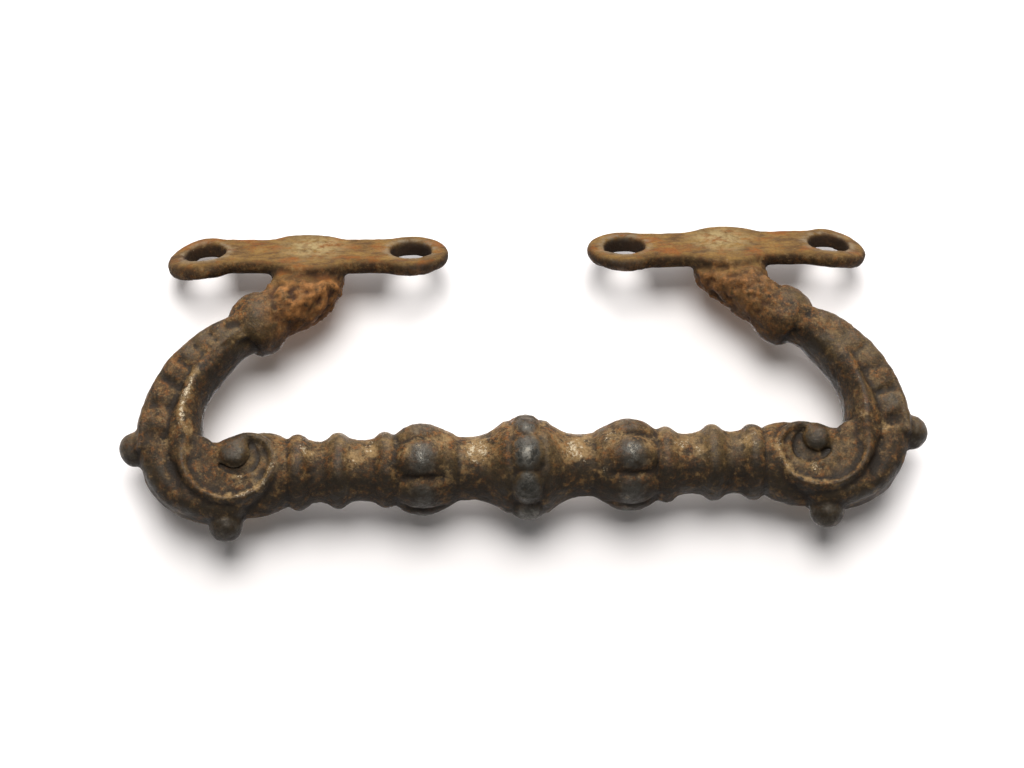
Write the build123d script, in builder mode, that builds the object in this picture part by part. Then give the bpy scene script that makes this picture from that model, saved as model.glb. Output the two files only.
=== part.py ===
from build123d import *
import os
from math import cos, radians, sin

os.makedirs("parts", exist_ok=True)

# Cast-iron drawer pull, as it hangs on a drawer: the mounting faces of its feet lie in the plane Y = 0 with the drawer
# behind them at +Y, +Z is up, and the hand bar hangs in front and below.

# Feet and their screw holes
inner_screw = 14.3
screw_pitch = 27.2
hole_bore = 5.4
foot_thick = 2.2
lobe_radius = 5.05
waist_half = 4.1
swell_half = 6.2
swell_width = 13.0
swell_rise = 0.3
foot_edge = 0.7
foot_back_edge = 1.25
tip_bend_from = 40.2
tip_bend = 17.0
tip_bend_radius = 13.0

# The bail hangs from the feet at this angle out from the drawer front. Its middle plane meets the mounting plane
# a little below the screws.
lean = 45.0
bail_below_screws = 1.0

# Hand bar: distance from the mounting plane along the bail, and its turned profile from the middle outwards
bar_reach = 30.4
neck_radius = 4.1
shoulder_radius = 6.0
shoulder_half = 2.7
knop_radius = 7.0
bead_count = 10
knop_bead = 2.35
bulb_from_middle = 13.4
bulb_radius = 6.1
bulb_half_length = 3.9
bulb_lobes = 6
bulb_flank = 0.7
lobe_swell = 3.1
neck_end = 9.0
ring_radius = 4.95
ring_cove = 3.95
ring_places = (18.05, 24.15, 29.4)
ring_half_width = 1.25
bar_end = 31.0

# Arm: two arcs about one centre, the outside at a fixed radius and the inside drawing in towards the hand bar
arm_centre = (31.2, 27.2)
arm_outside = 19.1
arm_inside_top = 14.2
arm_inside_low = 10.0
arm_top_angle = 80.0
floor_half = 3.1
floor_inset = 0.5
rim_width = 1.6
rim_half = 3.5
roll_half_top = 2.3
roll_half_low = 4.3
roll_width_top = 2.4
roll_width_low = 5.8

# Beads in the arm's channel: the lowest is the largest, and each one above is smaller by the same share
arm_beads = 6
first_bead_angle = 11.5
first_bead_step = 12.5
bead_shrink = 0.89
bead_ring = 16.3
bead_outwards = 0.19
bead_width = 3.1
bead_half = 3.75

# Corner: a round scroll that curls over into a small boss, with a ball at its side and one below it
corner_radius = 9.9
corner_half = 3.4
corner_edge = 2.3
scroll_centre = (38.0, 28.8)
scroll_radius = 6.2
scroll_half = 4.35
scroll_line = 1.0
plateau_half = 3.7
hollow_floor = 3.1
boss_radius = 1.55
boss_half = 4.9
ball_radius = 2.25
flare_half = 5.6

# Collar knop where the arm leaves the foot's root
collar_place = (34.4, 9.9)
collar_heading = 50.0
collar_half_length = 2.8
collar_radius = 4.15
root_middle = 28.6
root_width = 10.8
root_depth = 6.0
root_drop = 0.6
root_thick = 7.4
root_bend = (28.9, 6.2)
root_bend_heading = 70.0
root_end = (33.2, 9.0)

bail = Plane(origin=(0, 0, -bail_below_screws), x_dir=(1, 0, 0), z_dir=(0, cos(radians(lean)), -sin(radians(lean))))


def across(place, heading):
    """Plane square to the bail at a place on it, facing along the heading, its own Y lying in the bail."""
    return Plane(bail * Pos(place[0], place[1], 0) * Rot(0, 0, heading) * Rot(0, 90, 0))


def on_arm(radius, angle):
    """Place on the bail at a radius and an angle up from the level of the arm's centre."""
    return (arm_centre[0] + radius * cos(radians(angle)), arm_centre[1] - radius * sin(radians(angle)))


def inside_at(angle):
    """Radius of the arm's inside at an angle."""
    return arm_inside_low + (arm_inside_top - arm_inside_low) * max(0.0, angle) / arm_top_angle


def in_scroll(right, down):
    """Place on the bail, given from the scroll's centre in shares of its radius."""
    return (scroll_centre[0] + right * scroll_radius, scroll_centre[1] + down * scroll_radius)


# Hand bar, turned about its own axis
bar_axis = Axis(bail.from_local_coords((0, bar_reach, 0)), (1, 0, 0))
ring_foot = ring_cove + 0.3


def above(along, radius):
    """Point of the turned profile."""
    return (along, bar_reach - radius)


def round_bar(count, index):
    """One of a ring of places round the bar, the first of them square to the bail."""
    return Location(bar_axis.position) * Rot(360 / count * index - 90 - lean, 0, 0)


with BuildPart() as hand_bar:
    with BuildSketch(bail):
        with BuildLine():
            Line(above(0, 0), above(0, shoulder_radius))
            edge = Line(above(0, shoulder_radius), above(shoulder_half, shoulder_radius))
            step = Line(edge @ 1, above(shoulder_half + 0.4, shoulder_radius - 0.35))
            cone_middle = above(1.65 * shoulder_half, (shoulder_radius + 2 * neck_radius) / 3)
            cone = ThreePointArc(step @ 1, cone_middle, above(2.4 * shoulder_half, neck_radius))
            neck = Line(cone @ 1, above(neck_end, neck_radius))
            lip = Line(neck @ 1, above(neck_end + 0.2, neck_radius + 0.35))
            bulb_end = above(ring_places[0] - ring_half_width, ring_foot)
            bulb = ThreePointArc(lip @ 1, above(bulb_from_middle, bulb_radius - bulb_flank), bulb_end)
            last = bulb @ 1
            for place, following in zip(ring_places, ring_places[1:] + (bar_end + ring_half_width + 0.4,)):
                crown = ThreePointArc(last, above(place, ring_radius), above(place + ring_half_width, ring_foot))
                cove_end = above(following - ring_half_width, ring_foot)
                cove = ThreePointArc(crown @ 1, above((place + following) / 2, ring_cove), cove_end)
                last = cove @ 1
            Line(last, above(bar_end + 0.4, 0))
            Line(above(bar_end + 0.4, 0), above(0, 0))
        make_face()
    revolve(axis=bar_axis)
    mirror(about=Plane.YZ)
    for index in range(bead_count):
        with Locations(round_bar(bead_count, index) * Pos(0, 0, knop_radius - knop_bead)):
            Sphere(knop_bead)

# One lobe of a bulb: a spindle lying along the bar, its crest at the bulb's full radius
with BuildPart() as bulb_lobe:
    with BuildSketch(Plane.XY):
        with BuildLine():
            crest = ThreePointArc((-bulb_half_length, 0.9), (0, lobe_swell), (bulb_half_length, 0.9))
            Polyline(crest @ 1, (bulb_half_length, 0), (-bulb_half_length, 0), crest @ 0)
        make_face()
    revolve(axis=Axis.X)

# Floor of the arm's channel, as wide as the space between the roll's middle and the rim
with BuildPart() as arm_floor:
    with BuildSketch(bail):
        with BuildLine():
            outside = CenterArc(arm_centre, arm_outside - floor_inset, -arm_top_angle, arm_top_angle)
            low_inside = on_arm(arm_inside_low + roll_width_low / 2, 0)
            high_inside = on_arm(arm_inside_top + roll_width_top / 2, arm_top_angle)
            Line(outside @ 1, low_inside)
            half_way = arm_top_angle / 2
            middle_inside = inside_at(half_way) + (roll_width_low + roll_width_top) / 4
            inside = ThreePointArc(low_inside, on_arm(middle_inside, half_way), high_inside)
            Line(inside @ 1, outside @ 0)
        make_face()
    extrude(amount=floor_half, both=True)

# Round corner
with BuildPart() as corner:
    with BuildSketch(bail):
        with BuildLine():
            start = on_arm(arm_outside - floor_inset, 0)
            turn_one = JernArc(start, (0, 1), corner_radius - floor_inset, 60)
            turn_two = JernArc(turn_one @ 1, turn_one % 1, 1.35 * corner_radius, 30)
            turn_three = JernArc(turn_two @ 1, turn_two % 1, 0.3 * corner_radius, 75)
            throat = Polyline(turn_three @ 1, in_scroll(-0.48, 0.36), in_scroll(-0.71, -0.19))
            over = ThreePointArc(throat @ 1, in_scroll(-0.42, -0.36), in_scroll(0.19, -0.26))
            crotch = Line(over @ 1, on_arm(arm_inside_low + 0.6, 0))
            Line(crotch @ 1, start)
        make_face()
    extrude(amount=corner_half, both=True)
    lower_edges = [edge for edge in corner.edges() if bail.to_local_coords(edge @ 0.5).Y > arm_centre[1] + 2]
    face_edges = [edge for edge in lower_edges if abs(bail.to_local_coords(edge @ 0.5).Z) > corner_half / 2]
    fillet([edge for edge in face_edges if (edge @ 0.5).X > in_scroll(-0.7, 0)[0]], corner_edge)

# Teardrop pocket in the corner, outside the scroll
with BuildPart() as teardrop:
    with BuildSketch(bail.offset(hollow_floor)):
        with BuildLine():
            top = Line(in_scroll(0.98, -0.04), in_scroll(1.33, -0.06))
            outer_side = ThreePointArc(top @ 1, in_scroll(1.29, 0.46), in_scroll(0.98, 0.96))
            ThreePointArc(outer_side @ 1, in_scroll(0.94, 0.45), top @ 0)
        make_face()
    extrude(amount=corner_half)

# Smooth roll down the inside of the arm
with BuildPart() as arm_roll:
    for angle in (arm_top_angle, 60, 40, 20, 2, -12, -24):
        share = max(0.0, angle) / arm_top_angle
        sunk = max(0.0, -angle) / 24
        half_width = (roll_width_low + (roll_width_top - roll_width_low) * share) / 2 - 1.2 * sunk
        middle = on_arm(inside_at(angle) + roll_width_low / 2 * (1 - share) + roll_width_top / 2 * share, angle)
        with BuildSketch(across(middle, 90 - angle)):
            Ellipse(roll_half_low + (roll_half_top - roll_half_low) * share**2 - 0.9 * sunk, half_width)
    loft()

# Rim along the outside of the arm down to the side ball
with BuildPart() as arm_rim:
    with BuildLine(bail) as along_arm:
        CenterArc(arm_centre, arm_outside - rim_width / 2, -arm_top_angle, arm_top_angle + 2)
    with BuildSketch(across(on_arm(arm_outside - rim_width / 2, arm_top_angle), 90 - arm_top_angle)):
        Ellipse(rim_half, rim_width / 2)
    sweep(path=along_arm.line)

# Scroll round the corner: arcs of shrinking radius that curl in to the boss
with BuildPart() as scroll:
    with BuildLine(bail) as curl:
        last = Line(in_scroll(1, -0.58), in_scroll(1, 0))
        for share, sweep_angle in ((1.0, 125), (0.76, 65), (0.485, 75), (0.34, 60)):
            last = JernArc(last @ 1, last % 1, share * scroll_radius, sweep_angle)
    with BuildSketch(Plane(origin=curl.line @ 0, x_dir=bail.z_dir, z_dir=curl.line % 0)):
        Ellipse(scroll_half, scroll_line)
    sweep(path=curl.line)

# Bar flaring into the corner
with BuildPart() as throat_flare:
    with BuildSketch(across((bar_end, bar_reach), 0)):
        Circle(ring_radius - 0.45)
    with BuildSketch(across((bar_end + 0.6 * flare_half, bar_reach + 0.05 * flare_half), 0)):
        Ellipse(plateau_half, flare_half)
    with BuildSketch(across((bar_end + 1.14 * flare_half, bar_reach + 0.12 * flare_half), 0)):
        Ellipse(plateau_half - 0.5, 0.9 * flare_half)
    loft()

# Raised field inside the scroll, running out into the arm
with BuildPart() as plateau:
    with BuildSketch(bail):
        for right, down, share in ((-0.18, 0.355, 0.66), (0.37, 0.355, 0.58), (0.71, 0.0, 0.42)):
            with Locations(in_scroll(right, down)):
                Circle(share * scroll_radius)
    extrude(amount=plateau_half, both=True)

# Hollow under the scroll's lip, hooked round the boss
with BuildPart() as hollow:
    with BuildSketch(bail.offset(hollow_floor)):
        with BuildLine():
            lip = ThreePointArc(in_scroll(-0.26, -0.24), in_scroll(-0.63, 0.065), in_scroll(-0.27, 0.5))
            under_boss = ThreePointArc(lip @ 1, in_scroll(0.065, 0.4), in_scroll(0.26, 0.145))
            ThreePointArc(under_boss @ 1, in_scroll(-0.065, 0.12), lip @ 0)
        make_face()
    extrude(amount=corner_half)

# Boss at the scroll's end
with BuildPart() as boss:
    with BuildSketch(bail):
        with Locations(in_scroll(-0.097, -0.024)):
            Circle(boss_radius)
    extrude(amount=boss_half, both=True)
    fillet(boss.edges().filter_by(GeomType.CIRCLE), 0.8 * boss_radius)


def pillow(length, width, half):
    """One bead of the channel, a pillow seen on both faces of the arm."""
    with BuildPart() as made:
        with BuildSketch(Plane.XY):
            RectangleRounded(width, length, 0.3 * length)
        extrude(amount=half, both=True)
        levels = made.edges().group_by(Axis.Z)
        fillet(levels[0] + levels[-1], 0.24 * length)
    return made.part


with BuildPart() as beads:
    angle = first_bead_angle
    step = first_bead_step
    for index in range(arm_beads):
        size = (1 + bead_shrink**index) / 2
        place = on_arm(bead_ring + bead_outwards * index, angle)
        length = 0.9 * radians(step) * bead_ring
        with Locations(bail * Pos(place[0], place[1], 0) * Rot(0, 0, -angle)):
            add(pillow(length, bead_width * size, bead_half - 0.5 * (1 - size)))
        angle = angle + step
        step = step * bead_shrink

# Collar knop
collar_plane = across(collar_place, collar_heading)
with BuildPart() as collar:
    with BuildSketch(Plane(bail * Pos(collar_place[0], collar_place[1], 0) * Rot(0, 0, collar_heading))):
        with BuildLine():
            swell = ThreePointArc((-collar_half_length, 3.2), (0, collar_radius), (collar_half_length, 3.2))
            Polyline(swell @ 1, (collar_half_length, 0), (-collar_half_length, 0), swell @ 0)
        make_face()
    revolve(axis=Axis(collar_plane.origin, collar_plane.z_dir))

# Root from the foot to the collar
with BuildPart() as root:
    with BuildSketch(Plane(origin=(root_middle, -foot_thick / 2, -root_drop), x_dir=(0, 0, 1), z_dir=(0, -1, 0))):
        RectangleRounded(root_depth, root_width, 0.48 * root_depth)
    with BuildSketch(across(root_bend, root_bend_heading)):
        RectangleRounded(root_thick, 0.78 * root_width, 0.43 * root_thick)
    with BuildSketch(across(root_end, collar_heading)):
        RectangleRounded(0.9 * root_thick, 0.63 * root_width, 0.43 * root_thick)
    loft()

# Foot: its outline cut through a plate whose outer tip bends back from the drawer
foot_middle = inner_screw + screw_pitch / 2
with BuildPart() as foot:
    with BuildSketch(Plane.XY.offset(-2 * lobe_radius)):
        with BuildLine():
            flat_start = inner_screw - 2 * lobe_radius
            face = Line((flat_start, 0), (tip_bend_from, 0))
            bent = JernArc(face @ 1, (1, 0), tip_bend_radius, -tip_bend)
            tip = Line(bent @ 1, bent @ 1 + 2 * lobe_radius * (bent % 1))
            square = Vector(-sin(radians(tip_bend)), -cos(radians(tip_bend)))
            back_tip = Line(tip @ 1, tip @ 1 + foot_thick * square)
            back_start = back_tip @ 1 - 2 * lobe_radius * (bent % 1)
            back_bent = JernArc(back_start, -1 * (bent % 1), tip_bend_radius - foot_thick, tip_bend)
            Line(back_tip @ 1, back_bent @ 0)
            back = Line(back_bent @ 1, (flat_start, -foot_thick))
            Line(back @ 1, face @ 0)
        make_face()
    extrude(amount=4 * lobe_radius)
    with BuildSketch(Plane.XZ.offset(-1)):
        with Locations((inner_screw, 0), (inner_screw + screw_pitch, 0)):
            Circle(lobe_radius)
        with Locations((foot_middle, swell_rise)):
            Rectangle(screw_pitch, 2 * waist_half)
            Ellipse(swell_width / 2, swell_half)
        fillet([v for v in vertices() if abs(v.X - foot_middle) < screw_pitch / 2 + 1], 2.4)
    extrude(amount=4 * foot_thick, mode=Mode.INTERSECT)
    outline = foot.edges().filter_by(lambda edge: abs((edge % 0.5).Y) < 0.9)
    room_side = [edge for edge in outline if edge.distance_to(face) > 0.8 * foot_thick]
    fillet([edge for edge in outline if edge not in room_side], foot_edge)
    outline = foot.edges().filter_by(lambda edge: abs((edge % 0.5).Y) < 0.9)
    fillet([edge for edge in outline if edge.distance_to(face) > 0.8 * foot_thick], foot_back_edge)
    with BuildSketch(Plane.XZ.offset(-1)):
        with Locations((inner_screw, 0), (inner_screw + screw_pitch, 0)):
            Circle(hole_bore / 2)
    extrude(amount=4 * foot_thick, mode=Mode.SUBTRACT)

# The whole casting: one side, mirrored, and the hand bar between
with BuildPart() as drawer_pull:
    for body in (corner, arm_floor, throat_flare, plateau):
        add(body.part)
    add(teardrop.part, mode=Mode.SUBTRACT)
    add(teardrop.part.mirror(bail), mode=Mode.SUBTRACT)
    for body in (arm_roll, arm_rim, scroll):
        add(body.part)
    add(hollow.part, mode=Mode.SUBTRACT)
    add(hollow.part.mirror(bail), mode=Mode.SUBTRACT)
    for body in (boss, beads, collar, root, foot):
        add(body.part)
    for place in (on_arm(arm_outside - 0.1, 1), in_scroll(0.113, 1.37)):
        with Locations(bail.from_local_coords((place[0], place[1], 0))):
            Sphere(ball_radius)
    for index in range(bulb_lobes):
        add(round_bar(bulb_lobes, index) * Pos(bulb_from_middle, 0, bulb_radius - lobe_swell) * bulb_lobe.part)
    add(hand_bar.part)
    mirror(about=Plane.YZ)

drawer_pull.part.label = "drawer_pull"
export_step(drawer_pull.part, "parts/drawer_pull.step")
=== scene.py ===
from math import cos, radians, sin

import bpy
import numpy as np
from mathutils import Matrix, Vector


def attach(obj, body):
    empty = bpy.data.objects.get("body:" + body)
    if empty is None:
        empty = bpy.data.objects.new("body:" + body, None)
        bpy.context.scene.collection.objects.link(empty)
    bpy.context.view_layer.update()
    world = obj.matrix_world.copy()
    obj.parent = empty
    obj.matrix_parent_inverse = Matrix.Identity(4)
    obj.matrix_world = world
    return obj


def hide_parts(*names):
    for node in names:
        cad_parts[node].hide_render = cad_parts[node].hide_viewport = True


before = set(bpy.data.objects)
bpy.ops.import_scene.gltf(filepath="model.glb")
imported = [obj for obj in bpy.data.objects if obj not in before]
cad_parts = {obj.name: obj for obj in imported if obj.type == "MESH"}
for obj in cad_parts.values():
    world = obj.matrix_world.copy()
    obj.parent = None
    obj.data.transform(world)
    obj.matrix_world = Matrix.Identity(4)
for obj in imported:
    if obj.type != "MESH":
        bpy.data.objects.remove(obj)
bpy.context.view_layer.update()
bpy.ops.object.select_all(action="DESELECT")

# The casting
# The whole pull is one iron casting: feet, roots, collar knops, beaded arms, scrolled corners and a hand bar.
# It was cast in a two-part mould, so its edges are soft and its skin is uneven, and rust has pitted it since.
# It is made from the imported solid, which is merged and covered with one even skin.
merge_within = 0.000004
skin_step = 0.00031
casting = bpy.data.objects.new("iron_casting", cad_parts["drawer_pull"].data.copy())
bpy.context.scene.collection.objects.link(casting)
bpy.context.view_layer.objects.active = casting
casting.select_set(True)
casting.data.materials.clear()
bpy.ops.object.mode_set(mode="EDIT")
bpy.ops.mesh.select_all(action="SELECT")
bpy.ops.mesh.remove_doubles(threshold=merge_within)
bpy.ops.object.mode_set(mode="OBJECT")


def apply_all(piece):
    """Makes every modifier on the piece final."""
    for modifier in list(piece.modifiers):
        bpy.ops.object.modifier_apply(modifier=modifier.name)


even_skin = casting.modifiers.new("even_skin", "REMESH")
even_skin.mode = "VOXEL"
even_skin.voxel_size = skin_step
soft_edges = casting.modifiers.new("soft_edges", "SMOOTH")
soft_edges.factor = 0.5
soft_edges.iterations = 2
apply_all(casting)


def mesh_arrays(piece):
    """Places, outward directions and edges of the piece's mesh."""
    mesh = piece.data
    places = np.zeros(len(mesh.vertices) * 3)
    mesh.vertices.foreach_get("co", places)
    outward = np.zeros(len(mesh.vertices) * 3)
    mesh.vertices.foreach_get("normal", outward)
    edges = np.zeros(len(mesh.edges) * 2, dtype=np.int64)
    mesh.edges.foreach_get("vertices", edges)
    return places.reshape(-1, 3), outward.reshape(-1, 3), edges.reshape(-1, 2)


def evened(values, edges, rounds):
    """Values averaged with their neighbours' along the edges, a number of rounds."""
    count, own_share = len(values), 0.4
    ends = np.concatenate((edges[:, 0], edges[:, 1]))
    others = np.concatenate((edges[:, 1], edges[:, 0]))
    share = 1.0 / np.maximum(np.bincount(ends, minlength=count), 1)
    for _ in range(rounds):
        if values.ndim == 1:
            around = share * np.bincount(ends, values[others], count)
        else:
            columns = [np.bincount(ends, column, count) * share for column in values[others].T]
            around = np.stack(columns, axis=1)
        values = own_share * values + (1 - own_share) * around
    return values


def ramp(values, none, full):
    """Values brought to 0 at one end and 1 at the other."""
    return np.clip((values - none) / (full - none), 0.0, 1.0)


def near(first, second, at, reach):
    """1 at a place, falling softly to 0 at its reach."""
    return np.clip(1.0 - ((first - at[0]) ** 2 + (second - at[1]) ** 2) / reach**2, 0.0, 1.0) ** 2


def line(values, at, width):
    """1 on a line, falling softly to both sides of it."""
    return np.exp(-(((values - at) / width) ** 2))


# Places on one half of the pull, across it and down its bail, which leans out from the drawer front
lean = radians(45.0)
bail_height = -0.001
off_bail = np.array((0.0, cos(lean), -sin(lean)))
down_bail = np.array((0.0, -sin(lean), -cos(lean)))
screw_holes = (0.0143, 0.0415)
arm_centre = (0.0312, 0.0272)
scroll_centre = (0.0380, 0.0288)
boss_centre = (0.0374, 0.02865)
corner_balls = ((0.0503, 0.0269), (0.0387, 0.0373))
bar_reach = 0.0304
bulb_from_middle = 0.0134
shoulder_radius, ring_radius = 0.0060, 0.0070


def places_on(piece):
    """Where each point lies: across the pull, down the bail, off its plane, and round the arm's centre."""
    places, outward, edges = mesh_arrays(piece)
    below = bail_height - places[:, 2]
    across = np.abs(places[:, 0])
    down = below * cos(lean) - places[:, 1] * sin(lean)
    off = places[:, 1] * cos(lean) + below * sin(lean)
    from_centre = np.hypot(across - arm_centre[0], down - arm_centre[1])
    up_arm = np.degrees(np.arctan2(arm_centre[1] - down, across - arm_centre[0]))
    return places, outward, edges, across, down, off, from_centre, up_arm


def round_bar(down, off):
    """Distance from the hand bar's axis, and the angle round it from the side square to the bail."""
    return np.hypot(down - bar_reach, off), np.degrees(np.arctan2(down - bar_reach, off))


def foot_plates(places, down):
    """1 on the plates of the feet."""
    plate_depth, plate_drop = (-0.0034, -0.0024), (0.0050, 0.0030)
    return ramp(places[:, 1], *plate_depth) * ramp(down, *plate_drop)


def beaded_arms(across, up_arm):
    """1 along the arms, between the corner's ball and the collar."""
    lower_end, upper_end, from_middle = (-5.0, 5.0), (76.0, 66.0), (0.0345, 0.0365)
    return ramp(up_arm, *lower_end) * ramp(up_arm, *upper_end) * ramp(across, *from_middle)


def crest_line(up_arm):
    """The crest's distance from the arm's centre, a little more with each degree up the arm."""
    low_crest, low_angle, climb = 0.0131, 10.0, 0.000052
    return low_crest + climb * (up_arm - low_angle)


def from_screw_holes(across, height, outer_lift):
    """Distance from the nearer screw hole's middle, where the outer one stands higher by its lift."""
    from_inner = np.hypot(across - screw_holes[0], height)
    return np.minimum(from_inner, np.hypot(across - screw_holes[1], height - outer_lift))


def lobe_seams(across, from_axis, angle):
    """1 on the seams between a bulb's six lobes, falling off to both sides of each."""
    lobe_turn, seam_width = 60.0, 0.00045
    bulb_length, bulb_skin = (0.0035, 0.0026), (0.0044, 0.0050)
    from_seam = np.radians(np.abs((angle % lobe_turn) - lobe_turn / 2)) * from_axis
    on_bulb = ramp(np.abs(across - bulb_from_middle), *bulb_length) * ramp(from_axis, *bulb_skin)
    return line(from_seam, 0.0, seam_width) * on_bulb


def beaded_ring(angle, across, count, bead, bead_half_width):
    """Distance of the middle ring's surface from the bar's axis, for a count of beads that stand on it."""
    bead_centre = ring_radius - bead
    half_turn = 180.0 / count
    turn = np.radians((angle + half_turn) % (2.0 * half_turn) - half_turn)
    height = bead**2 * (1.0 - (across / bead_half_width) ** 2) - (bead_centre * np.sin(turn)) ** 2
    beads = np.where(height > 0, bead_centre * np.cos(turn) + np.sqrt(np.maximum(height, 0.0)), 0.0)
    return np.maximum(shoulder_radius, beads)


places, outward, edges, across, down, off, from_centre, up_arm = places_on(casting)
from_axis, angle = round_bar(down, off)
from_plane = np.abs(off)
one_side, other_side = places[:, 0] < 0, places[:, 0] > 0
foot_plate = foot_plates(places, down)
arm_run = beaded_arms(across, up_arm)
root_drop, root_side = (0.0135, 0.0075), (0.0345, 0.0325)
root_run = ramp(down, *root_drop) * (1 - foot_plate) * ramp(across, *root_side)

# The crest between the beads and the arm's smooth inner side is drawn up to a line
crest_height, crest_width = 0.00034, 0.00055
crest = line(from_centre, crest_line(up_arm), crest_width) * arm_run
places += outward * (crest_height * crest)[:, None]

# The feet were knocked out of true: one is higher at its outer end, and one root came out slimmer
end_lift, lifted_end = 0.0010, (0.028, 0.038)
raised_end = end_lift * foot_plate * ramp(places[:, 0], *lifted_end)
places[:, 2] += raised_end
root_place, collar_place, moved_reach = (0.0262, 0.0086), (0.0355, 0.0085), 0.0062
root_aside, root_up, collar_aside, collar_down = 0.0011, 0.0007, 0.0003, 0.0006
slimmer = near(across, down, root_place, moved_reach) * one_side * (1 - foot_plate)
shifted = near(across, down, collar_place, moved_reach) * one_side * (1 - foot_plate)
places[:, 0] -= root_aside * slimmer + collar_aside * shifted
places += np.outer(collar_down * shifted - root_up * slimmer, down_bail)

# Rust has partly filled the hollow under the scroll's lip, more on one side, and the gaps between the beads
hollow_place, hollow_reach = (0.0368, 0.0293), 0.0046
under_lip, under_beads, over_floor = (0.0042, 0.0031), (0.0036, 0.0032), (0.0026, 0.0030)
channel_inside, channel_outside = (0.0139, 0.0147), (0.0187, 0.0180)
hollow = near(across, down, hollow_place, hollow_reach)
hollow *= ramp(from_plane, *under_lip) * ramp(from_plane, *over_floor)
gaps = arm_run * ramp(from_centre, *channel_inside) * ramp(from_centre, *channel_outside)
gaps *= ramp(from_plane, *under_beads) * ramp(from_plane, *over_floor)
hollow_filling, gap_filling = 0.00055 + 0.00045 * other_side, 0.00018
places += np.outer(np.sign(off) * (hollow_filling * hollow + gap_filling * gaps), off_bail)

# The bosses in the scrolls are a little broad, one more than the other and set lower
boss_radius, boss_top = (0.0030, 0.0016), (0.0030, 0.0036)
boss_spread, boss_drop = 0.10 + 0.18 * other_side, 0.0012 * other_side
from_boss = np.hypot(across - boss_centre[0], down - boss_centre[1])
broader = ramp(from_boss, *boss_radius) * ramp(from_plane, *boss_top) * boss_spread
places[:, 0] += np.sign(places[:, 0]) * (across - boss_centre[0]) * broader
places += np.outer((down - boss_centre[1] + boss_drop) * broader, down_bail)

# The ring at the bar's middle is dressed from ten beads to eight broad ones, the first square to the bail
solid_beads, solid_bead = 10, 0.00235
broad_beads, broad_bead, broad_half_width = 8, 0.0034, 0.0029
ring_skin, ring_width = (0.0056, 0.0059), (0.0027, 0.0024)
raised = beaded_ring(angle, across, broad_beads, broad_bead, broad_half_width)
raised -= beaded_ring(angle, across, solid_beads, solid_bead, solid_bead)
raised *= ramp(from_axis, *ring_skin) * ramp(across, *ring_width) / np.maximum(from_axis, 0.0001)
places += np.outer(raised * off, off_bail) + np.outer(raised * (down - bar_reach), down_bail)

# The seams between the bulbs' lobes are cut a little deeper
seam_depth = 0.00032
places -= outward * (seam_depth * lobe_seams(across, from_axis, angle))[:, None]
casting.data.vertices.foreach_set("co", places.ravel())


def group_of(name, weights):
    """A group of the casting's points, each with its own weight."""
    least = 0.01
    group = casting.vertex_groups.new(name=name)
    for index in np.flatnonzero(weights > least):
        group.add([int(index)], float(weights[index]), "REPLACE")


def rubbed_down(name, weights, rounds):
    """Smooths the casting by its weights, as wear does."""
    group_of(name, weights)
    rub = casting.modifiers.new(name, "SMOOTH")
    rub.factor = 0.7
    rub.iterations = rounds
    rub.vertex_group = name


# One arm's upper beads are worn nearly flat, and so are the screw holes' rims
seen_face, upper_arm, bead_row = (0.0026, 0.0034), (24.0, 34.0), (0.0146, 0.0154)
upper_beads = arm_run * ramp(off, *seen_face) * ramp(up_arm, *upper_arm) * ramp(from_centre, *bead_row)
rubbed_down("worn_beads", 0.9 * one_side * upper_beads, 22)
rim_radius, rim_width = 0.0029, (0.0009, 0.0005)
from_hole = from_screw_holes(across, places[:, 2], raised_end)
rubbed_down("hole_rims", foot_plate * ramp(np.abs(from_hole - rim_radius), *rim_width), 7)

# The skin waves a little all over, and rust has roughened it in grains, and in thick lumps on the roots
root_places = evened(root_run, edges, 6)
group_of("roots", root_places)
group_of("skin", 1.0 - 0.5 * foot_plate)
group_of("crust", np.clip(0.4 + 0.6 * root_places - 0.28 * foot_plate, 0.0, 1.0))


def rough_skin(name, grain, height, group):
    """Raises and lowers the skin in soft lumps of one grain size."""
    lumps = bpy.data.textures.new(name, "CLOUDS")
    lumps.noise_scale = grain
    lumps.noise_depth = 3
    lift = casting.modifiers.new(name, "DISPLACE")
    lift.texture = lumps
    lift.texture_coords = "LOCAL"
    lift.strength = height
    lift.mid_level = 0.5
    lift.vertex_group = group


rough_skin("cast_waves", 0.0050, 0.00042, "skin")
rough_skin("cast_dimples", 0.0018, 0.00022, "skin")
rough_skin("rust_lumps", 0.0015, 0.0013, "roots")
rough_skin("rust_grain", 0.0006, 0.00030, "crust")
apply_all(casting)


def keep(name, values):
    """Stores one value for each point of the casting, for its finish to read."""
    layer = casting.data.attributes.new(name, "FLOAT", "POINT")
    layer.data.foreach_set("value", values.astype(np.float32))


# Relief of the casting: how far each point stands proud of its surroundings, or lies below them
places, outward, edges, across, down, off, from_centre, up_arm = places_on(casting)
near_level = evened(places, edges, 12)
wide_level = evened(places, edges, 90)
near_relief = evened(np.einsum("ij,ij->i", places - near_level, outward), edges, 1)
wide_relief = evened(np.einsum("ij,ij->i", places - wide_level, outward), edges, 3)
for name, relief, none, full in (
    ("ridge", near_relief, 0.00002, 0.00012), ("groove", near_relief, -0.00001, -0.00007),
    ("proud", wide_relief, 0.0001, 0.0007), ("sunk", wide_relief, -0.00005, -0.0005),
):
    keep(name, ramp(relief, none, full))

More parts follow.
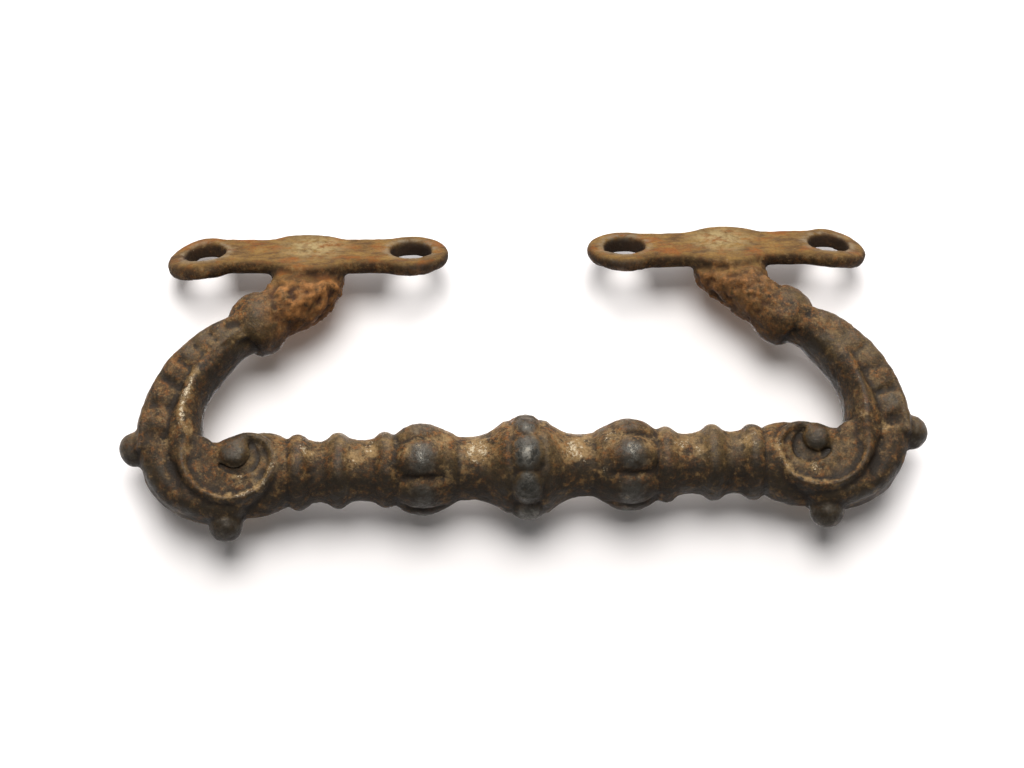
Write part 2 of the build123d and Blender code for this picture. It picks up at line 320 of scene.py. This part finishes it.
# The feet's mounting faces, with a pale patch on each that is painted highlight, and the rusty roots, one
# rustier than the other
from_axis, angle = round_bar(down, off)
from_plane = np.abs(off)
one_side, other_side = places[:, 0] < 0, places[:, 0] > 0
foot_plate = foot_plates(places, down)
face_turn, face_depth, face_drop = (0.55, 0.9), (-0.0034, -0.0016), (0.0062, 0.0040)
foot_face = ramp(outward[:, 1], *face_turn) * ramp(places[:, 1], *face_depth) * ramp(down, *face_drop)
keep("foot_face", evened(foot_face, edges, 4))
keep("foot", evened(foot_plate, edges, 6))
patch_place, patch_reach = (0.0272, 0.0015), 0.0062
keep("pale_patch", near(across, places[:, 2], patch_place, patch_reach) * foot_face)
rust_drop, rust_side, less_rust = (0.0150, 0.0090), (0.0345, 0.0305), 0.35
rusty_end = ramp(down, *rust_drop) * (1 - foot_plate) * ramp(across, *rust_side)
keep("root", evened(rusty_end * (1 - less_rust * one_side), edges, 6))

# Round the screw holes: bare grey rims and dark walls
hole_lift, rim_reach, wall_reach, wall_depth = 0.0008, (0.0039, 0.0031), (0.0031, 0.0028), (-0.0002, -0.0008)
from_hole = from_screw_holes(across, places[:, 2], hole_lift * other_side)
keep("hole_rim", evened(ramp(from_hole, *rim_reach) * foot_face, edges, 2))
keep("hole_wall", ramp(from_hole, *wall_reach) * ramp(places[:, 1], *wall_depth))

# Black smooth skin: on the bar's beads and lobes, the balls, the bosses and the lowest channel beads
towards_feet = -outward @ down_bail
bead_crown, beads_width = (0.0061, 0.0067), (0.0031, 0.0022)
black = 0.95 * ramp(from_axis, *bead_crown) * ramp(across, *beads_width)
lobe_crown, lobe_length = (0.0050, 0.0060), (0.0040, 0.0008)
lobes = ramp(from_axis, *lobe_crown) * ramp(np.abs(across - bulb_from_middle), *lobe_length)
black = np.maximum(black, 0.8 * lobes)
ball_skin = (0.0027, 0.0023)
for ball in corner_balls:
    from_ball = np.sqrt((across - ball[0]) ** 2 + (down - ball[1]) ** 2 + off**2)
    black = np.maximum(black, 0.5 * ramp(from_ball, *ball_skin))
boss_skin, boss_crown = (0.0021, 0.0014), (0.0038, 0.0044)
from_boss = np.hypot(across - boss_centre[0], down - boss_centre[1])
black = np.maximum(black, 0.6 * ramp(from_boss, *boss_skin) * ramp(from_plane, *boss_crown))
bead_place, bead_reach, bead_top = (0.0474, 0.0232), 0.0034, (0.0033, 0.0036)
lowest_bead = near(across, down, bead_place, bead_reach) * ramp(from_plane, *bead_top)
black = np.maximum(black, lowest_bead * (0.30 + 0.40 * one_side))
# Painted light: the black is thinner on the side towards the feet, on which the lamps fall, so that side
# reads paler
black_lit_side, black_lit_share = (0.1, 0.7), 0.35
keep("black", evened(black * (1 - black_lit_share * ramp(towards_feet, *black_lit_side)), edges, 4))

# Rubbed thin where hands and cloths went: one crest, the scrolls' lips, the coves and necks; and painted
# light, paler on the lobe seams and the side of the bar towards the feet, where the lamps fall
bare_width, bare_start, bare_end = 0.0006, (2.0, 9.0), (52.0, 34.0)
handled_and_lit = 0.9 * line(from_centre, crest_line(up_arm), bare_width) * ramp(up_arm, *bare_start)
handled_and_lit *= ramp(up_arm, *bare_end) * (0.25 + 0.75 * other_side)
lip_radius, lip_width, lip_start, lip_end = 0.0057, 0.0005, (-10.0, 10.0), (125.0, 95.0)
from_scroll = np.hypot(across - scroll_centre[0], down - scroll_centre[1])
round_scroll = np.degrees(np.arctan2(down - scroll_centre[1], scroll_centre[0] - across))
lip = line(from_scroll, lip_radius, lip_width) * ramp(round_scroll, *lip_start) * ramp(round_scroll, *lip_end)
handled_and_lit = np.maximum(handled_and_lit, 0.8 * lip)
for spot, reach, share in (
    ((0.0463, 0.0270), 0.0013, 0.8), ((0.0433, 0.0258), 0.0012, 0.7), ((0.0368, 0.0325), 0.0020, 0.7),
    ((0.0340, 0.0326), 0.0016, 0.6), ((0.0281, 0.0290), 0.0020, 0.8), ((0.0221, 0.0300), 0.0024, 0.7),
    ((0.0200, 0.0290), 0.0022, 0.9), ((0.0110, 0.0280), 0.0022, 0.8), ((0.0156, 0.0296), 0.0016, 0.6),
    ((0.0063, 0.0292), 0.0036, 1.0), ((0.0100, 0.0326), 0.0015, 0.6), ((0.0470, 0.0240), 0.0006, 0.9),
):
    handled_and_lit = np.maximum(handled_and_lit, share * near(across, down, spot, reach))
# Painted light: the side of the bar towards the feet, on which the lamps fall, made paler and golden
lit_side_turn, lit_side_drop, lit_side_across = (0.10, 0.75), (0.0200, 0.0260), (0.0340, 0.0300)
lit_bar_side = ramp(towards_feet, *lit_side_turn) * ramp(down, *lit_side_drop) * ramp(across, *lit_side_across)
handled_and_lit = np.maximum(handled_and_lit, 0.42 * lit_bar_side)
# Painted highlight: the lobe seams on the side towards the feet made paler along them
seam_lit_side = (-0.3, 0.3)
handled_and_lit = np.maximum(handled_and_lit, 0.8 * lobe_seams(across, from_axis, angle) * ramp(towards_feet, *seam_lit_side))
keep("handled_and_lit", evened(handled_and_lit, edges, 1))

# Painted shade with grease and old black: darker on the side away from the feet, where the lamps don't reach,
# outside the scrolls and on the arms' inner rolls
shaded_side_turn, grease_and_shade_start = (0.20, -0.45), (0.0090, 0.0150)
grease_and_shade = ramp(towards_feet, *shaded_side_turn)
scroll_edge, scroll_drop, scroll_side = (0.0061, 0.0072), (0.0265, 0.0300), (0.0340, 0.0370)
outside_scroll = ramp(from_scroll, *scroll_edge) * ramp(down, *scroll_drop) * ramp(across, *scroll_side)
grease_and_shade = np.maximum(grease_and_shade, 0.9 * outside_scroll)
roll_edge = (0.0004, 0.0014)
inner_roll = ramp(crest_line(up_arm) - from_centre, *roll_edge) * beaded_arms(across, up_arm)
grease_and_shade = np.maximum(grease_and_shade, 0.8 * inner_roll)
keep("grease_and_shade", evened(grease_and_shade, edges, 4) * ramp(down, *grease_and_shade_start))


def iron_finish():
    """Old cast iron: dark skin, brown and orange rust in its hollows, bare metal where it was handled, and
    painted light and shade on its sides.
    """
    finish = bpy.data.materials.new("rusty_iron")
    finish.use_nodes = True
    tree = finish.node_tree
    shader = tree.nodes["Principled BSDF"]
    where = tree.nodes.new("ShaderNodeTexCoord").outputs["Object"]

    def mottle(scale, detail, rough, shift=0.0, stretch=(1.0, 1.0, 1.0)):
        """Mottling all through the iron, at its own scale and place."""
        place = tree.nodes.new("ShaderNodeMapping")
        place.inputs["Location"].default_value = (shift, shift * 0.7, -shift)
        place.inputs["Scale"].default_value = stretch
        tree.links.new(where, place.inputs["Vector"])
        noise = tree.nodes.new("ShaderNodeTexNoise")
        noise.inputs["Scale"].default_value = scale
        noise.inputs["Detail"].default_value = detail
        noise.inputs["Roughness"].default_value = rough
        tree.links.new(place.outputs["Vector"], noise.inputs["Vector"])
        return noise.outputs["Fac"]

    def stored(name):
        """A value kept on the casting's points."""
        layer = tree.nodes.new("ShaderNodeAttribute")
        layer.attribute_name = name
        return layer.outputs["Fac"]

    def between(value, none, full):
        """A value brought to 0 at one end and 1 at the other."""
        step = tree.nodes.new("ShaderNodeMapRange")
        step.inputs["From Min"].default_value = none
        step.inputs["From Max"].default_value = full
        tree.links.new(value, step.inputs["Value"])
        return step.outputs["Result"]

    def worked(kind, *values):
        """A value worked out from others."""
        step = tree.nodes.new("ShaderNodeMath")
        step.operation = kind
        for socket, value in zip(step.inputs, values):
            if isinstance(value, float):
                socket.default_value = value
            else:
                tree.links.new(value, socket)
        return step.outputs["Value"]

    def times(first, second):
        return worked("MULTIPLY", first, second)

    def plus(base, share, value):
        """A base with a share of another value added."""
        return worked("MULTIPLY_ADD", value, share, base)

    def less(area, share):
        """1 off an area, and less by a share on it."""
        return plus(1.0, -share, area)

    def over(base, colour, amount, share=1.0):
        """A colour laid over a base, by an amount and a share of it."""
        mix = tree.nodes.new("ShaderNodeMix")
        mix.data_type = "RGBA"
        for socket, value in ((mix.inputs[6], base), (mix.inputs[7], colour)):
            if isinstance(value, tuple):
                socket.default_value = (*value, 1.0)
            else:
                tree.links.new(value, socket)
        tree.links.new(amount if share == 1.0 else times(amount, share), mix.inputs["Factor"])
        return mix.outputs[2]

    ridge, groove, proud, sunk = (stored(name) for name in ("ridge", "groove", "proud", "sunk"))
    foot_face_area, foot_area, root_area = (stored(name) for name in ("foot_face", "foot", "root"))
    hole_rim, hole_wall, pale_patch = (stored(name) for name in ("hole_rim", "hole_wall", "pale_patch"))
    black_area, handled_and_lit_area, grease_and_shade_area = (stored(name) for name in ("black", "handled_and_lit", "grease_and_shade"))
    broad = mottle(190, 5, 0.6)
    patches = mottle(680, 9, 0.68, 3.0)
    grit = mottle(1400, 6, 0.7, 7.0)
    fine = mottle(4200, 3, 0.6, 11.0)
    flecks = mottle(620, 10, 0.74, 5.0)
    grain = mottle(2300, 6, 0.72, 13.0)
    fine_grain = mottle(3000, 5, 0.72, 17.0)
    scrapes = mottle(620, 8, 0.68, 9.0, stretch=(0.5, 1.0, 1.0))
    stains = mottle(300, 6, 0.66, 15.0, stretch=(0.6, 1.0, 1.0))

    # Brown rust over all, mottled from near black to umber and chestnut
    dark_brown, brown, chestnut = (0.030, 0.019, 0.009), (0.125, 0.068, 0.024), (0.27, 0.096, 0.018)
    umber, dark_specks, straw = (0.22, 0.140, 0.052), (0.022, 0.013, 0.007), (0.38, 0.245, 0.105)
    colour = over(dark_brown, brown, between(patches, 0.40, 0.60))
    colour = over(colour, chestnut, between(grit, 0.49, 0.63), 0.65)
    colour = over(colour, umber, between(broad, 0.50, 0.62), 0.45)
    colour = over(colour, dark_specks, between(fine, 0.50, 0.66), 0.6)
    colour = over(colour, straw, between(grain, 0.53, 0.66), 0.45)

    # Black smooth skin where the iron is proud, grease and painted shade on the side away from the feet, and
    # black iron bare of rust
    skin_black, grease_and_shade_black, bare_black = (0.017, 0.0155, 0.0125), (0.017, 0.013, 0.0085), (0.070, 0.066, 0.057)
    skin = times(between(plus(broad, 0.25, proud), 0.52, 0.68), between(grit, 0.34, 0.50))
    black_places = between(plus(patches, 0.42, black_area), 0.64, 0.92)
    black_part = times(black_places, between(grit, 0.24, 0.42))
    skin = worked("MAXIMUM", times(skin, 0.5), black_part)
    skin = times(times(skin, less(foot_area, 0.8)), less(root_area, 0.7))
    colour = over(colour, skin_black, skin)
    # Painted shade: darker on the side away from the feet, where the lamps don't reach, with grease
    colour = over(colour, grease_and_shade_black, times(grease_and_shade_area, between(patches, 0.70, 0.50)), 0.85)
    colour = over(colour, bare_black, black_part)

    # Darker in the hollows and grooves
    hollow_darkening, groove_darkening = (0.020, 0.013, 0.008), (0.012, 0.008, 0.005)
    colour = over(colour, hollow_darkening, sunk, 0.65)
    colour = over(colour, groove_darkening, groove, 0.85)

    # Orange rust thick on the roots, with a painted highlight on the crests of its lumps and painted shade in
    # their grooves
    orange, crest_highlight_orange, root_groove_shade = (0.19, 0.076, 0.022), (0.36, 0.158, 0.048), (0.045, 0.020, 0.010)
    colour = over(colour, orange, times(root_area, between(patches, 0.34, 0.58)), 0.8)
    colour = over(colour, crest_highlight_orange, times(root_area, times(ridge, between(grit, 0.40, 0.60))))
    colour = over(colour, root_groove_shade, times(root_area, groove), 0.9)

    # Mounting faces: thin tan rust, scraped along the foot, with redder stains, a pale painted highlight on
    # their middle, and darker at their edges
    dark_tan, light_tan, red_stain = (0.080, 0.038, 0.010), (0.235, 0.130, 0.032), (0.215, 0.062, 0.005)
    brown_stain, painted_face_highlight, rim_grey = (0.060, 0.030, 0.012), (0.33, 0.25, 0.115), (0.23, 0.18, 0.115)
    pit_brown, foot_edge_darkening, hole_wall_darkening = (0.090, 0.046, 0.022), (0.032, 0.017, 0.008), (0.030, 0.017, 0.010)
    tan = over(dark_tan, light_tan, between(scrapes, 0.38, 0.60))
    tan = over(tan, red_stain, between(stains, 0.50, 0.60), 0.8)
    tan = over(tan, brown_stain, between(grain, 0.48, 0.64), 0.5)
    # Painted highlight: a pale patch on the middle of each mounting face
    tan = over(tan, painted_face_highlight, times(pale_patch, between(patches, 0.40, 0.58)))
    tan = over(tan, rim_grey, times(hole_rim, between(patches, 0.42, 0.56)))
    tan = over(tan, pit_brown, between(grit, 0.54, 0.70), 0.6)
    colour = over(colour, foot_edge_darkening, times(foot_area, between(patches, 0.64, 0.44)), 0.75)
    colour = over(colour, tan, foot_face_area, 0.94)
    colour = over(colour, hole_wall_darkening, hole_wall, 0.8)

    # Where hands rubbed it the rust is thin and golden, with bare metal in fine flecks; the same paler
    # colours are painted light on the side of the bar towards the feet and along the lobe seams there
    golden_rust, bare_metal = (0.26, 0.165, 0.070), (0.50, 0.415, 0.285)
    golden = between(plus(patches, 0.30, handled_and_lit_area), 0.58, 0.78)
    golden = times(times(golden, between(grain, 0.34, 0.56)), less(black_area, 0.7))
    colour = over(colour, golden_rust, golden)
    rubbing = plus(plus(flecks, 0.30, handled_and_lit_area), 0.05, ridge)
    rubbed = times(between(rubbing, 0.58, 0.90), less(groove, 0.8))
    rubbed = times(rubbed, less(black_area, 0.6))
    rubbed = between(plus(fine_grain, 0.30, rubbed), 0.70, 0.82)
    colour = over(colour, bare_metal, rubbed, 0.85)
    tree.links.new(colour, shader.inputs["Base Color"])

    # The black skin and the rubbed metal shine, and the rust is dull
    dull = plus(0.58, -0.44, skin)
    dull = plus(plus(dull, -0.16, rubbed), 0.12, grit)
    dull = plus(plus(dull, 0.14, root_area), 0.16, foot_area)
    tree.links.new(dull, shader.inputs["Roughness"])
    tree.links.new(plus(times(rubbed, 0.30), 0.65, black_part), shader.inputs["Metallic"])
    shader.inputs["Specular IOR Level"].default_value = 0.20

    # Rust grain and small pits, finer than the mesh
    pits = times(plus(times(grit, 0.6), 0.4, fine), less(skin, 0.6))
    bump = tree.nodes.new("ShaderNodeBump")
    bump.inputs["Strength"].default_value = 0.7
    bump.inputs["Distance"].default_value = 0.00035
    tree.links.new(pits, bump.inputs["Height"])
    tree.links.new(bump.outputs["Normal"], shader.inputs["Normal"])
    return finish


casting.data.materials.append(iron_finish())
bpy.ops.object.shade_smooth()
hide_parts("drawer_pull")
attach(casting, "root")

# The table
# A plain white table top on which the pull lies with its mounting faces up, its feet and its ring of beads
# touching it. It is clear from beneath and lets the lamp below shine through, so that side can be seen too.
table_up = Vector((0.0, cos(lean), -sin(lean)))
table_far = Vector((0.0, sin(lean), cos(lean)))
table_right = Vector((-1.0, 0.0, 0.0))
table_depth = 0.0071
table_size = 3.0
table_place = Vector((0.0, 0.0, bail_height)) - table_up * table_depth
bpy.ops.object.select_all(action="DESELECT")
bpy.ops.mesh.primitive_plane_add(size=table_size)
table = bpy.context.active_object
table.name = "table_top"
table.visible_shadow = False
table_turn = Matrix((table_right, table_far, table_up)).transposed().to_4x4()
table.matrix_world = Matrix.Translation(table_place) @ table_turn
bpy.ops.object.transform_apply(location=True, rotation=True, scale=True)


def table_paint():
    """White to the eye and in mirrors, grey where its light falls on the pull, and clear from beneath."""
    lit_colour, seen_colour, seen_glow = (0.42, 0.41, 0.41, 1.0), (0.96, 0.93, 0.93, 1.0), 0.05
    paint = bpy.data.materials.new("white_paint")
    paint.use_nodes = True
    tree = paint.node_tree
    tree.nodes.clear()

    def mixed(kind, first, second, amount=None):
        """Two shaders added or mixed."""
        mix = tree.nodes.new(kind)
        tree.links.new(first, mix.inputs[-2])
        tree.links.new(second, mix.inputs[-1])
        if amount is not None:
            tree.links.new(amount, mix.inputs["Fac"])
        return mix.outputs["Shader"]

    def larger(first, second):
        step = tree.nodes.new("ShaderNodeMath")
        step.operation = "MAXIMUM"
        tree.links.new(first, step.inputs[0])
        tree.links.new(second, step.inputs[1])
        return step.outputs["Value"]

    grey = tree.nodes.new("ShaderNodeBsdfDiffuse")
    grey.inputs["Color"].default_value = lit_colour
    white = tree.nodes.new("ShaderNodeBsdfDiffuse")
    white.inputs["Color"].default_value = seen_colour
    glow = tree.nodes.new("ShaderNodeEmission")
    glow.inputs["Strength"].default_value = seen_glow
    ray = tree.nodes.new("ShaderNodeLightPath").outputs
    seen = larger(ray["Is Camera Ray"], larger(ray["Is Glossy Ray"], ray["Is Transmission Ray"]))
    bright = mixed("ShaderNodeAddShader", white.outputs["BSDF"], glow.outputs["Emission"])
    top = mixed("ShaderNodeMixShader", grey.outputs["BSDF"], bright, seen)
    clear = tree.nodes.new("ShaderNodeBsdfTransparent").outputs["BSDF"]
    beneath = tree.nodes.new("ShaderNodeNewGeometry").outputs["Backfacing"]
    surface = tree.nodes.new("ShaderNodeOutputMaterial").inputs["Surface"]
    tree.links.new(mixed("ShaderNodeMixShader", top, clear, beneath), surface)
    return paint


table.data.materials.append(table_paint())

# The light
# Broad soft lamps above the table and beyond it, as from a window. One more lights the side that lies on the
# table, so that side is lit when seen from below.
pull_middle = Vector((0.0, -0.0135, -0.0135))
lamp_distance = 1.6
room_glow = 0.08


def soft_lamp(name, direction, size, power, colour):
    """A square soft lamp that shines on the pull from a direction."""
    light = bpy.data.lights.new(name, "AREA")
    light.size = size
    light.energy = power
    light.color = colour
    lamp = bpy.data.objects.new(name, light)
    bpy.context.scene.collection.objects.link(lamp)
    lamp.location = pull_middle + direction.normalized() * lamp_distance
    lamp.rotation_mode = "QUATERNION"
    lamp.rotation_quaternion = (-direction).to_track_quat("-Z", "Y")


white, warm_white = (1.0, 1.0, 1.0), (1.0, 0.985, 0.96)
soft_lamp("ceiling", table_up * 0.966 + table_far * 0.26 - table_right * 0.03, 1.0, 28.0, warm_white)
soft_lamp("window", table_up * 0.52 + table_far * 0.86 + table_right * 0.06, 1.5, 27.0, white)
soft_lamp("front", -table_up * 0.94 + table_far * 0.34, 0.8, 28.0, white)
room = bpy.data.worlds.new("room")
room.use_nodes = True
room.node_tree.nodes["Background"].inputs["Color"].default_value = (*white, 1.0)
room.node_tree.nodes["Background"].inputs["Strength"].default_value = room_glow
bpy.context.scene.world = room

# The camera
# It looks down on the table from the hand bar's side, turned a little across the bar, with a long lens. Its
# turns are measured from the drawer front, and its aim is the point it looks at.
lens_pixels, picture_width, sensor_width = 2922.48, 1024, 36.0
yaw, pitch, roll = 0.0350116, 0.4369879, -0.0221081
aim, distance = Vector((-0.002539, 0.043068, 0.0)), 0.350
ahead = Vector((0.0, -cos(pitch), sin(pitch)))
up = Vector((0.0, -sin(pitch), -cos(pitch)))
right = Vector((1.0, 0.0, 0.0))
ahead, right = cos(yaw) * ahead + sin(yaw) * right, cos(yaw) * right - sin(yaw) * ahead
right, up = cos(roll) * right + sin(roll) * up, cos(roll) * up - sin(roll) * right


def in_row(vector):
    """A direction or place of the photograph's frame, in the row frame."""
    return Vector((-vector.x, -vector.z, -vector.y))


camera = bpy.data.objects.new("camera", bpy.data.cameras.new("camera"))
bpy.context.scene.collection.objects.link(camera)
camera.data.sensor_width = sensor_width
camera.data.lens = lens_pixels / picture_width * sensor_width
camera.data.clip_start = 0.01
camera_place = in_row(aim - ahead * distance)
camera_turn = Matrix((in_row(right), in_row(up), -in_row(ahead))).transposed().to_4x4()
camera.matrix_world = Matrix.Translation(camera_place) @ camera_turn
bpy.context.scene.camera = camera
bpy.context.scene.view_settings.view_transform = "Standard"
